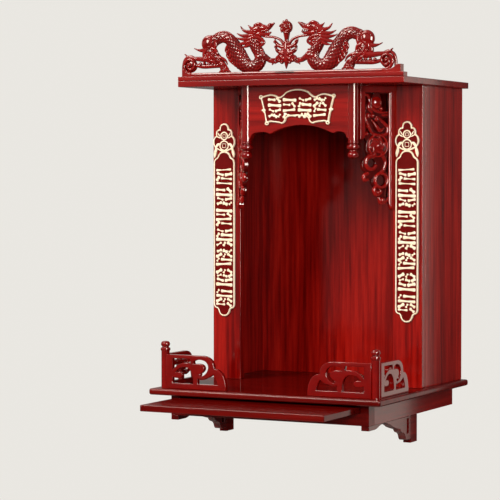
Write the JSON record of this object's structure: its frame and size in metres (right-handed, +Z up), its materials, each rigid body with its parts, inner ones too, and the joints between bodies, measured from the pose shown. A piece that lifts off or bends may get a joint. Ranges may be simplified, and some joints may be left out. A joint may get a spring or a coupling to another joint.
{
  "type": "household altar cabinet",
  "caption": "Wall-hung household altar cabinet: open arched niche on a slab with corner railings, a canopy with a pierced dragon crest, and a pull-out tray.",
  "frame": {"origin": "middle of the back panel's rear face, on the wall plane, 300 mm above the niche floor", "axes": "+X to the right seen from the front, +Y into the wall, +Z up; the open front faces -Y"},
  "size_m": [0.48, 0.566, 0.8054],
  "materials": {
    "red_lacquer": "glossy red lacquer over fine upright grain",
    "dark_lacquer": "dark maroon lacquer, semi-gloss",
    "tray_lacquer": "glossy red lacquer",
    "gilt_carving": "red ground with pale gilt rims and relief"
  },
  "bodies": {
    "cabinet": {"base_slab": "red_lacquer", "top_board": "red_lacquer", "dragon_crest": "red_lacquer", "lintel_board": "red_lacquer", "left_pilaster": "red_lacquer", "right_pilaster": "red_lacquer", "left_side_panel": "red_lacquer", "right_side_panel": "red_lacquer", "left_drop_column": "red_lacquer", "right_drop_column": "red_lacquer", "left_wing_bracket": "red_lacquer", "right_wing_bracket": "red_lacquer", "left_railing_post": "red_lacquer", "right_railing_post": "red_lacquer", "left_front_railing": "red_lacquer", "right_front_railing": "red_lacquer", "left_side_railing": "red_lacquer", "right_side_railing": "red_lacquer", "apron_left_post": "red_lacquer", "apron_right_post": "red_lacquer", "apron_left_side": "red_lacquer", "apron_right_side": "red_lacquer", "apron_front_rail": "red_lacquer", "apron_back": "red_lacquer", "back_panel": "dark_lacquer", "left_bracket": "dark_lacquer", "right_bracket": "dark_lacquer", "left_bracket_batten": "dark_lacquer", "right_bracket_batten": "dark_lacquer", "left_tray_runner": "dark_lacquer", "right_tray_runner": "dark_lacquer", "lintel_plaque": "gilt_carving", "left_couplet_plaque": "gilt_carving", "right_couplet_plaque": "gilt_carving"},
    "tray": {"pull_out_tray": "tray_lacquer"}
  },
  "joints": [
    {"name": "tray_slide", "type": "slide", "parent": "cabinet", "child": "tray", "axis": [0, -1, 0], "range_m": [-0.153, 0.077]}
  ]
}
